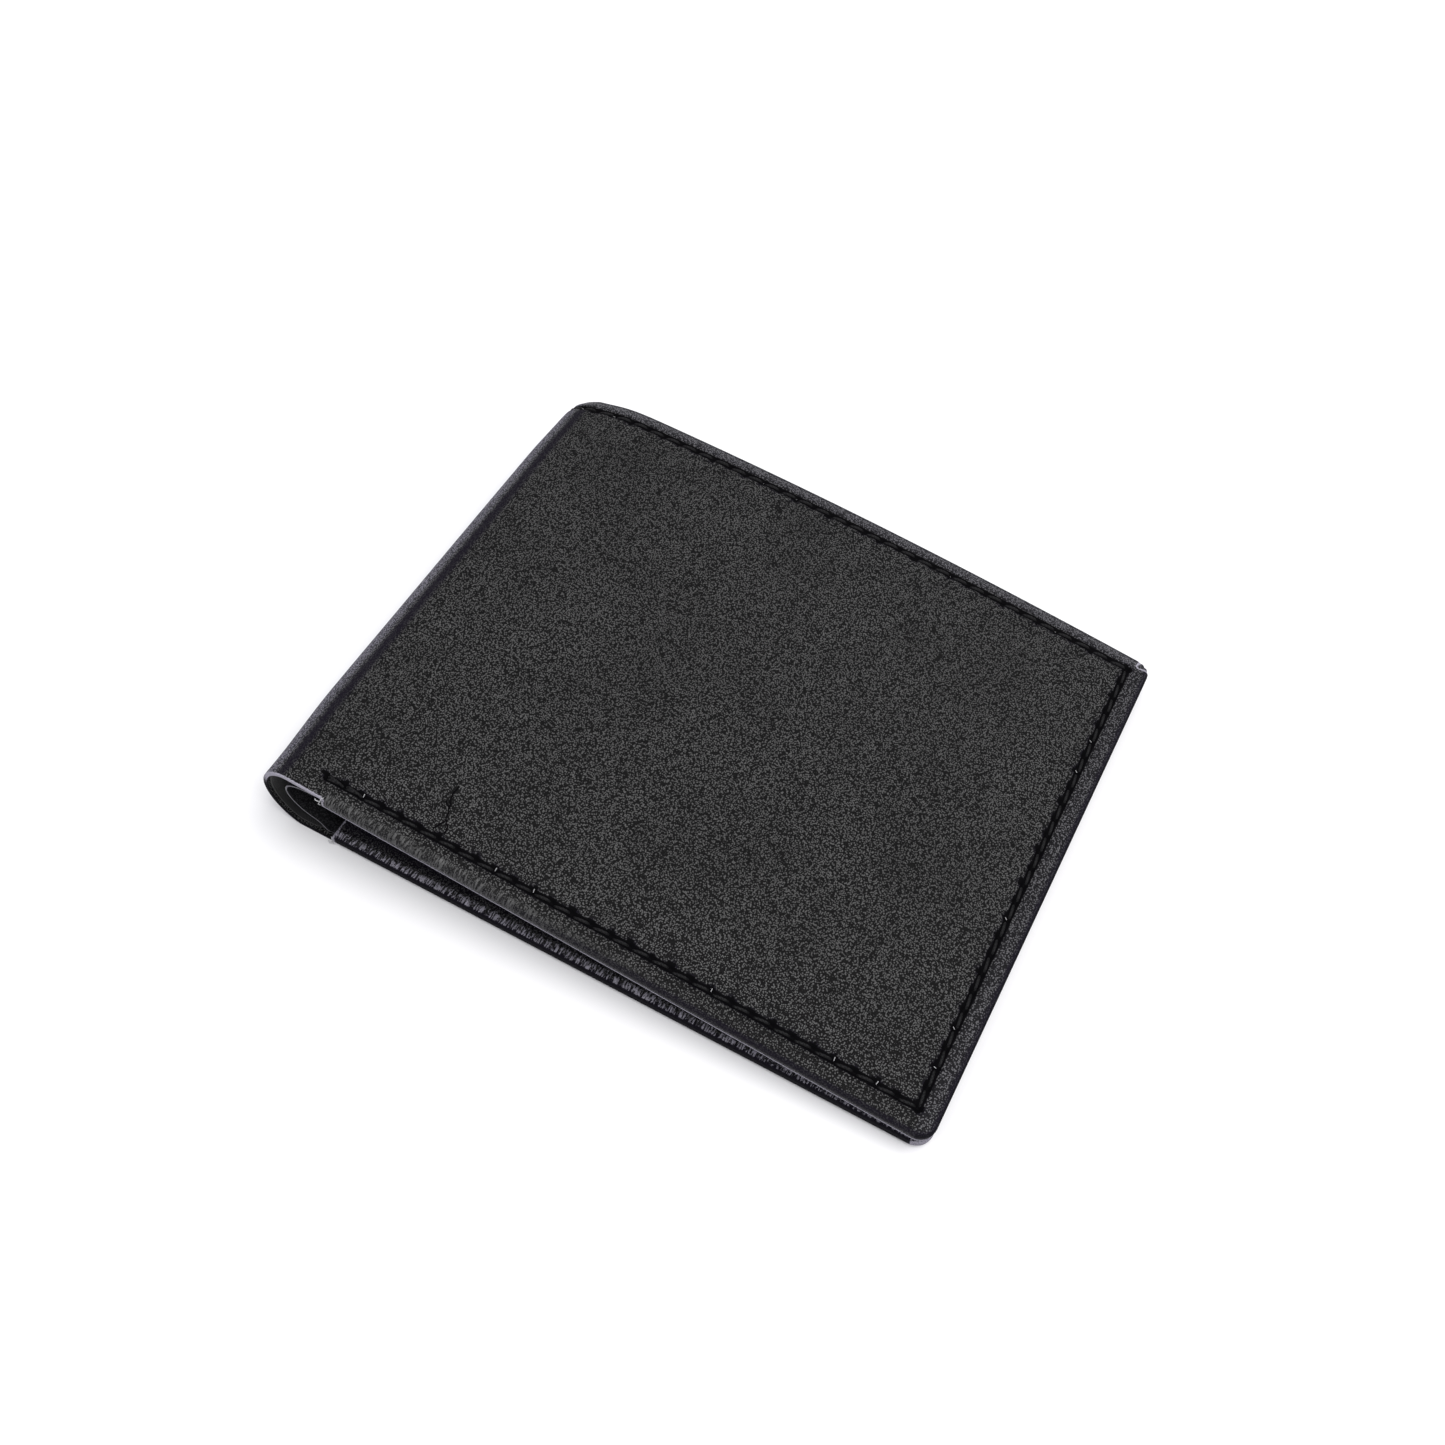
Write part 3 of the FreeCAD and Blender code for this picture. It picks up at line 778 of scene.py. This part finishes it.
def band_slots(stations, front):
    """Material of each quad of the edge band: the dark edge material along the roll's side, as painted
    shade, and on the cuts.
    """
    kinds = column_of(stations[:-1], KIND)
    lower = column_of(stations[:-1], IN_Y) == 1
    column = np.arange(len(cut_profile()) - 1)
    first_shaded = FIRST_ROLL + np.where(lower & front, SOFT_STEPS, 2)
    shaded_side = between(column, first_shaded, FIRST_LIP - (0 if front else 3))
    under_lip = between(column, FIRST_END - 1, FIRST_END + 3)
    cut = between(column, FIRST_ROLL + 1, FIRST_LIP - 2)
    return np.where(kinds == "cut", cut, shaded_side | under_lip).astype(int).ravel().tolist()


def seam_loop(count, samples, rows, columns):
    """The closed outline of the leather where its two halves meet in the middle of the fold."""
    lower = np.arange(samples)
    upper = lower + (count - 1) * samples
    outside = count * samples + np.arange(columns)
    inside = outside + rows * columns
    return np.concatenate([lower[::-1], outside[1:-1], upper, inside[-2:0:-1]]).tolist()


def half_blend(piece, front, root, seam):
    """Bakes the piece's transform into its mesh. root, at the root of the fold, and seam, in the middle of
    the fold, are places across and above, in millimetres."""
    root, seam = [(x * MM, 0, z * MM) for x, z in (root, seam)]
    if front:
        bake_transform(piece)
        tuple(seam)
        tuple(root)
    else:
        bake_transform(piece)
        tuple(root)
        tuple(seam)


def fold_blend(piece, front):
    """The root and seam of every piece that runs round the outside of the fold, passed to half_blend."""
    pressed = FOLD_IN + max(FAR_IN, PINCH)
    seam = (LOOP_X + pressed + RADIUS * math.cos(MIDDLE), RADIUS + RADIUS * math.sin(MIDDLE))
    half_blend(piece, front, mirrored(LOOP_X, 0) if front else (LOOP_X, 0), seam)


# ---- stitching ----
TUBE_SIDES = 8
TUBE_STEPS = 9
PLY_TURNS = 3.0  # turns of the thread's plies along one stitch
GROOVE_SEAT = GROOVE - 0.07  # depth of the thread's middle where it lies in the groove
STITCH_LEAN = 0.17  # sideways lean of each stitch from its row
PANEL_THREAD_RADIUS = 0.2
CORE_RADIUS = 0.06


def tube(path, radii):
    """A closed tube along flat points (s, y, depth) whose direction lies in plan."""
    step = np.gradient(path[:, :2], axis=0)
    step /= np.maximum(np.linalg.norm(step, axis=1), 1e-9)[:, None]
    side = np.stack([-step[:, 1], step[:, 0]], -1)
    angle = np.linspace(0, 2 * math.pi, TUBE_SIDES, endpoint=False)
    ring = radii[:, None]
    flat = path[:, None, :2] + side[:, None] * (ring * np.cos(angle))[..., None]
    depth = path[:, None, 2] + ring * np.sin(angle)
    along = np.linspace(0, PLY_TURNS, len(path))[:, None] + 0 * angle
    ply = np.stack([along, 0.2 * angle + 0 * along, 0 * along], -1)
    index = np.arange(depth.size).reshape(depth.shape)
    after = np.roll(index, -1, axis=1)
    quads = np.stack([index[:-1], after[:-1], after[1:], index[1:]], -1).reshape(-1, 4).tolist()
    quads += [index[0, ::-1].tolist(), index[-1].tolist()]
    return np.dstack([flat, depth]).reshape(-1, 3), quads, ply.reshape(-1, 3)


def stitch_paths(start, pitch, count, seat, buried, lean=STITCH_LEAN, inset=0.0):
    """The thread's way over each stitch of a straight row: out of one hole, along, into the next.
    pitch is the flat step from hole to hole."""
    normal = np.array([-pitch[1], pitch[0]]) / np.linalg.norm(pitch)
    t = np.linspace(0, 1, TUBE_STEPS)[:, None]
    rise = np.sin(math.pi * np.clip(t, 0, 1)) ** 0.45
    for number in range(count):
        uneven = 0.04 * math.sin(number * 2.4) + 0.03 * math.sin(number * 5.1 + 1)
        across = lean * (2 * t - 1) + uneven + inset
        flat = start + pitch * (number + 0.06 + 0.88 * t) + normal * across
        yield np.hstack([flat, buried + (seat - buried) * rise])


def thread_object(name, paths, front, material=THREAD, radius=THREAD_RADIUS):
    """One object of many tubes. Those of a stitch's length are thinner at their ends."""
    points, faces, plies = [], [], []
    first = 0
    taper = 0.72 + 0.28 * np.sin(math.pi * np.linspace(0, 1, TUBE_STEPS)) ** 0.6
    for path in paths:
        flat, quads, ply = tube(path, radius * (taper if len(path) == TUBE_STEPS else np.ones(len(path))))
        points.append(place(*flat.T, front))
        faces += [[first + i for i in face] for face in quads]
        plies.append(ply)
        first += len(flat)
    return finish_mesh(name, np.concatenate(points), faces, [material], {"ply_place": np.concatenate(plies)})


def row_paths(row, inner_seat):
    """Both faces of one stitch row. The lower row has one stitch less on the inside."""
    start, along, _, pitch, count = ROWS[row]
    yield from stitch_paths(start, along * pitch, count, GROOVE_SEAT, 0.80)
    held = count - 1 if row == "lower" else count
    yield from stitch_paths(start, along * pitch, held, inner_seat - 0.02, inner_seat - 0.3, -STITCH_LEAN)


def edge_thread(front):
    """The stitching of the lower edge and open side, with two stitches sewn back over its end."""
    paths = [*row_paths("lower", RIM), *row_paths("side", RIM)]
    start, along, _, pitch, count = ROWS["lower"]
    step = along * pitch
    paths += stitch_paths(start + count * step, -step, 2, GROOVE_SEAT - 0.1, 0.6, -STITCH_LEAN, 0.16)
    return thread_object(sided("edge_stitching", front), paths, front)


def banknote_thread(front):
    return thread_object(sided("banknote_stitching", front), row_paths("top", TOP_RIM), front)


def panel_thread(front):
    start = np.array([s_of(PANEL_STITCH_X), LOW_Y + HEM_WIDTH])
    length = INTERIOR_TOP_Y - 1.2 - start[1]
    count = round(length / STITCH_PITCH)
    pitch = np.array([0, length / count])
    paths = stitch_paths(start, pitch, count, PANEL_TOP + TURNED_EDGE, PANEL_TOP - 0.2)
    return thread_object(sided("panel_stitching", front), paths, front, radius=PANEL_THREAD_RADIUS)


def drawn_line(knots, steps):
    """Evenly spaced places along straight lines between given knots."""
    t = np.linspace(0, len(knots) - 1, steps)
    return np.column_stack([np.interp(t, range(len(knots)), column) for column in np.transpose(knots)])


def thread_ends(front):
    """Pale ends of the core thread, left where the lower hem begins at the notch."""
    curls = [
        [(-0.9, -0.05, 0.55), (-0.6, -0.28, 0.35), (-0.25, -0.20, 0.45), (-0.05, 0.05, 0.8)],
        [(-0.1, -0.02, 0.7), (-0.22, -0.30, 1.1), (0.02, -0.12, 1.5), (-0.15, 0.1, 1.9)],
        [(0.35, 0.45, -0.08), (0.12, 0.15, -0.15), (0.05, -0.15, 0.25), (-0.12, -0.08, 0.7)],
    ]
    paths = [drawn_line(np.array(curl) + (S_NOTCH, LOW_Y, 0), 10) for curl in curls]
    paths += hole_specks()
    return thread_object(sided("core_thread_ends", front), paths, front, PALE_THREAD, CORE_RADIUS)


def hole_specks():
    """Short pale bits that stand out beside some of the holes, made as pale thread."""
    for start, along, inwards, pitch, count in ROWS.values():
        for number in range(1, count):
            if math.sin(number * 2.9 + start[1]) + 0.4 * math.sin(number * 0.7) < 0.75:
                continue
            hole = start + along * pitch * number
            reach = np.linspace(0.1, 0.48, 5)[:, None]
            lean = 0.25 * math.sin(number * 5.3)
            flat = hole + reach * inwards + lean * reach * along
            yield np.column_stack([flat, np.linspace(0.42, 0.02, 5)])


CRACK_DEPTH, CRACK_RADIUS = 0.045, 0.14


def crease_lines():
    """A fine forked crack in the front panel's grain, beside the lower stitches near the notch, drawn as
    thin tubes of the black painted-shade material.
    """
    forks = [
        [(16.0, 4.5), (16.9, 6.4), (16.3, 8.2), (15.5, 10.0), (15.6, 11.8)],
        [(16.8, 6.5), (17.7, 5.6), (17.8, 4.7)],
        [(16.3, 8.2), (15.2, 8.9)],
    ]
    paths = []
    for fork in forks:
        steps = 4 * len(fork)
        wander = 0.07 * np.sin(np.linspace(0, len(fork) - 1, steps) * 9.0)
        flat = drawn_line(np.array(fork) + (S_NOTCH, LOW_Y), steps) + wander[:, None]
        paths.append(np.column_stack([flat, np.full(steps, CRACK_DEPTH)]))
    return thread_object("crease_lines_front", paths, True, SHADE_BLACK, CRACK_RADIUS)


# ---- inside layers ----
TUCK = 2.2  # the layers held by the hem stop this far inside the roll
LINING_LOW_Y = LOW_Y + 0.9
LINING_TOP_Y = TOP_Y - HEM_WIDTH - 0.05
TURNED_EDGE = 0.14  # the panel's edge beside the fold is doubled by this much


def tucked(s, y, lead=4):
    """Draws a layer's lower edge inwards where the hem holds it."""
    share = 1 - (y - LOW_Y) / (TOP_Y - LOW_Y)
    return y + 1.3 * share * smooth((s - S_NOTCH + lead) / 4)


def outer_lining(front):
    s_axis = np.concatenate([[0, 0.1, 0.4], axis(1.0, S_OPEN - TUCK, 1.2)])
    y_axis = axis(LINING_LOW_Y, LINING_TOP_Y, 1.5)

    def bend(s, y, depth):
        return place(s, tucked(s, y), depth, front)

    return slab(sided("lining", front), s_axis, y_axis, LEATHER + 0.015, LINING_TOP, bend, [TWILL])


# The divider's way round the fold, from the back half to the front half, as places across and
# above the loop's lowest left corner, in loop radii. It droops towards the back half.
LOWER_LOOP = [(1.66, 0.355), (1.52, 0.56), (1.17, 0.74), (0.95, 0.98)]
UPPER_LOOP = [(0.86, 1.28), (0.96, 1.55), (1.25, 1.71), (1.62, 1.745)]


def divider_path():
    """Places, unit normals towards the outer leather, and lengths along the divider, back to
    front. Its loop is a smooth curve through the knots."""
    flat_depth = (LINING_TOP + DIVIDER_TOP) / 2
    straight_s = np.linspace(S_OPEN - TUCK, s_of(PANEL_X) + 1.5, 60)
    back = place(straight_s, 0 * straight_s, flat_depth, False)[:, [0, 2]]
    fx, fz = mirrored(back[::-1, 0], back[::-1, 1])
    loop = np.array([LOOP_X - RADIUS, 0]) + RADIUS * np.array(LOWER_LOOP + UPPER_LOOP)
    knots = np.array([back[-2], back[-1], *loop, (fx[0], fz[0]), (fx[1], fz[1])])
    t = np.linspace(0, 1, 9)[:-1, None]
    pieces = []
    for a, b, c, d in zip(knots[:-3], knots[1:-2], knots[2:-1], knots[3:]):
        square, cube = 2 * a - 5 * b + 4 * c - d, 3 * b - a - 3 * c + d
        pieces.append(0.5 * (2 * b + (c - a) * t + square * t**2 + cube * t**3))
    places = np.concatenate([back[:-1], *pieces, np.column_stack([fx, fz])])
    step = np.gradient(places, axis=0)
    step /= np.linalg.norm(step, axis=1)[:, None]
    normals = np.stack([-step[:, 1], step[:, 0]], -1)
    lengths = np.concatenate([[0], np.cumsum(np.linalg.norm(np.diff(places, axis=0), axis=1))])
    return places, normals, lengths


def divider(front):
    """One half of the divider. q is the distance along it from the middle of its loop."""
    places, normals, lengths = divider_path()
    middle = lengths[-1] / 2
    half = (DIVIDER_TOP - LINING_TOP) / 2 - 0.01

    def bend(q, y, depth):
        at = middle + (q if front else -q)
        columns = np.hstack([places, normals]).T
        x, z, normal_x, normal_z = [np.interp(at, lengths, column) for column in columns]
        s = S_OPEN - TUCK - (middle - q)
        x = x + normal_x * depth
        z = z + normal_z * depth
        if front:
            out = swell(s, y) * smooth((s - s_of(PANEL_X)) / 8)
            x = x + out * ACROSS[0]
            z = z + out * ACROSS[1] + bow(s, y, 0)
        return np.stack([x, tucked(s, y, 2), z], -1)

    q_axis = np.concatenate([[0, 0.1, 0.4], axis(0.9, middle, 0.7)])
    y_axis = axis(LOW_Y + 0.55, INTERIOR_TOP_Y, 2.0)
    piece = slab(sided("divider_leather", front), q_axis, y_axis, half, -half, bend, [INNER, CUT], 1)
    root, seam = [bend(np.array(q), np.array(0.0), 0.0)[[0, 2]] for q in (9.5, 0.0)]
    half_blend(piece, front, root, seam)
    return piece


def inner_panel(front):
    edge = s_of(PANEL_X)
    s_axis = axis(edge, S_OPEN - TUCK, 2.0, (*FINE, 1.7, 1.8, 1.9))
    y_axis = axis(LOW_Y + TUCK, INTERIOR_TOP_Y, 2.0)

    def inner(s, y):
        doubled = TURNED_EDGE * (1 - smooth((s - edge - 1.7) / 0.2))
        rim = edge_round(np.minimum(s - edge, INTERIOR_TOP_Y - y), 0.3)
        base = DIVIDER_TOP + 0.08
        return base + (PANEL_TOP + doubled - base) * rim

    name, bend = sided("inner_panel_skin", front), partial(place, front=front)
    return slab(name, s_axis, y_axis, DIVIDER_TOP + 0.01, inner, bend, [INNER, DARK_EDGE_AND_SHADE], 1)


FABRIC_SHARE = 0.36  # a fabric tail's thickness, in thicknesses of a slot's leather
FIRST_SLOT_LOW, FIRST_SLOT_HIGH = box_mm("card_slot_1_back")
STEP_FOLD = FIRST_SLOT_HIGH[2] - FIRST_SLOT_LOW[2]
STEP_OPEN = box_mm("card_slot_2_back")[0][2] - FIRST_SLOT_LOW[2]


def layer_depth(s, level):
    low, high = s_of(FIRST_SLOT_LOW[0]), s_of(FIRST_SLOT_HIGH[0])
    return PANEL_TOP + level * (STEP_FOLD + (STEP_OPEN - STEP_FOLD) * (s - low) / (high - low))


def pocket_layer(node, ending, level, front):
    """Makes a leather strip or a fabric tail, which stands for its node in the same place. The
    leather ones have a creased line beside their opening."""
    low, high = box_mm(f"{node}_back")
    creased = ending != "tail"
    thickness = 1.0 if creased else FABRIC_SHARE
    s_axis = axis(s_of(low[0]), s_of(high[0]), 2.0)
    y_axis = axis(low[1], high[1], 1.6, (*FINE, 1.3, 1.45, 1.6, 1.75, 1.9) if creased else FINE)

    def outer(s, y):
        return layer_depth(s, level) + 0.004

    def inner(s, y):
        full = layer_depth(s, level + thickness) - layer_depth(s, level) - 0.012
        edge = 0.3 + 0.7 * edge_round(high[1] - y, 0.3)
        line = 0.21 * bell(high[1] - y - 1.6, 0.16) if creased else 0
        return layer_depth(s, level) + 0.006 + full * edge * (1 - line)

    name = f"{sided(node, front)}_{ending}"
    materials = [INNER, DARK_EDGE_AND_SHADE] if creased else [TWILL, TWILL]
    piece = slab(name, s_axis, y_axis, outer, inner, partial(place, front=front), materials, 1)
    stand_in(piece, "inner_leather" if creased else "lining", front, [node])


# ---- the two halves: each piece's maker, its material slot and the CAD nodes it stands for ----
FOLDED = [
    (outer_leather, "outer_leather", ["outer_leather", "lower_hem", "side_hem", "top_hem"]),
    (banknote_thread, "thread", ["top_thread"]),
    (outer_lining, "lining", ["outer_lining"]),
]
STIFF = [
    (edge_thread, "thread", ["edge_thread"]),
    (panel_thread, "thread", ["panel_thread"]),
    (thread_ends, "thread", []),
    (inner_panel, "inner_leather", ["inner_panel"]),
]
SPINE_NODES = {
    "outer_leather_skin": ["outer_leather", "top_hem"],
    "banknote_stitching": ["top_thread"],
    "lining": ["outer_lining"],
    "divider_leather": ["divider"],
}


def stand_in(piece, material_slot, front, nodes, rides=True):
    """The piece stands for its nodes of one half, which are hidden, and rides on that half unless rides is
    false.
    """
    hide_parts(*[sided(node, front) for node in nodes])
    if rides:
        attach(piece, "front_half" if front else "back_half")


def half_wallet(front):
    for make, material_slot, nodes in FOLDED:
        piece = make(front)
        stand_in(piece, material_slot, front, nodes, rides=False)
        fold_blend(piece, front)
    stand_in(divider(front), "inner_leather", front, ["divider"], rides=False)
    for make, material_slot, nodes in STIFF:
        stand_in(make(front), material_slot, front, nodes)
    for number in (1, 2, 3):
        pocket_layer(f"card_slot_{number}", "strip", number - 1, front)
        pocket_layer(f"slot_fabric_{number}", "tail", number - 1, front)
    pocket_layer("front_pocket", "panel", 3, front)


half_wallet(False)
half_wallet(True)
stand_in(crease_lines(), "outer_leather", True, [])
for name, nodes in SPINE_NODES.items():
    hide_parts(*[f"{node}_spine" for node in nodes])


# ---- stage ----
CAMERA_AZIMUTH = math.radians(25.57)
CAMERA_ELEVATION = math.radians(56.72)
CAMERA_ROLL = math.radians(3.24)
CAMERA_DISTANCE = 235.9
CAMERA_TARGET = Vector((-1.68, 3.23, 0.0))
CAMERA_LENS = 36.92
FLOOR = 4.0  # half the floor's width, in metres


def make_camera():
    flat, rise = math.cos(CAMERA_ELEVATION), math.sin(CAMERA_ELEVATION)
    back = Vector((math.sin(CAMERA_AZIMUTH) * flat, -math.cos(CAMERA_AZIMUTH) * flat, rise))
    right = (-back).cross(Vector((0, 0, 1))).normalized()
    up = right.cross(-back)
    turn, lean = math.cos(CAMERA_ROLL), math.sin(CAMERA_ROLL)
    axes = Matrix((turn * right + lean * up, turn * up - lean * right, back)).transposed()
    camera = add_object("camera", bpy.data.cameras.new("camera"))
    camera.data.lens = CAMERA_LENS
    camera.data.sensor_width = 36.0
    camera.data.clip_start = 0.005
    camera.matrix_world = Matrix.Translation((CAMERA_TARGET + back * CAMERA_DISTANCE) * MM) @ axes.to_4x4()
    scene.camera = camera


def world_light():
    """Soft light from above, dimmer towards the horizon except where it is the backdrop."""
    n = Nodes(bpy.data.worlds.new("studio"), "Background")
    direction = n.add("ShaderNodeTexCoord").outputs["Generated"]
    upwards = n.add("ShaderNodeSeparateXYZ", Vector=direction).outputs["Z"]
    seen = n.add("ShaderNodeLightPath").outputs["Is Camera Ray"]
    strength = n.math("MAXIMUM", n.ramp(upwards, 0.18, 0.60, 0.08, 1.0), seen)
    n.set(Color=(0.96, 0.965, 1.0, 1), Strength=strength)
    scene.world = n.owner


def key_light():
    data = bpy.data.lights.new("key", "AREA")
    data.shape = "RECTANGLE"
    data.size, data.size_y = 0.8, 0.6
    data.energy = 7.0
    data.color = (1.0, 0.985, 0.97)
    light = add_object("key", data)
    light.location = (0.35, 0.05, 0.95)
    light.rotation_euler = (-light.location).to_track_quat("-Z", "Y").to_euler()


def make_floor():
    mesh = bpy.data.meshes.new("floor")
    corners = [(-FLOOR, -FLOOR, 0), (FLOOR, -FLOOR, 0), (FLOOR, FLOOR, 0), (-FLOOR, FLOOR, 0)]
    mesh.from_pydata(corners, [], [(0, 1, 2, 3)])
    n = Nodes(bpy.data.materials.new("floor_paper"))
    grain = n.noise(n.add("ShaderNodeTexCoord").outputs["Object"], 60.0, 3.0)
    n.set(Base_Color=n.colour(grain, (0.87, 0.87, 0.88), (0.90, 0.90, 0.905)))
    n.set(Roughness=0.9, Specular_IOR_Level=0.1)
    mesh.materials.append(n.owner)
    floor = add_object("floor", mesh)


make_camera()
make_floor()
world_light()
key_light()
scene.view_settings.view_transform = "Standard"
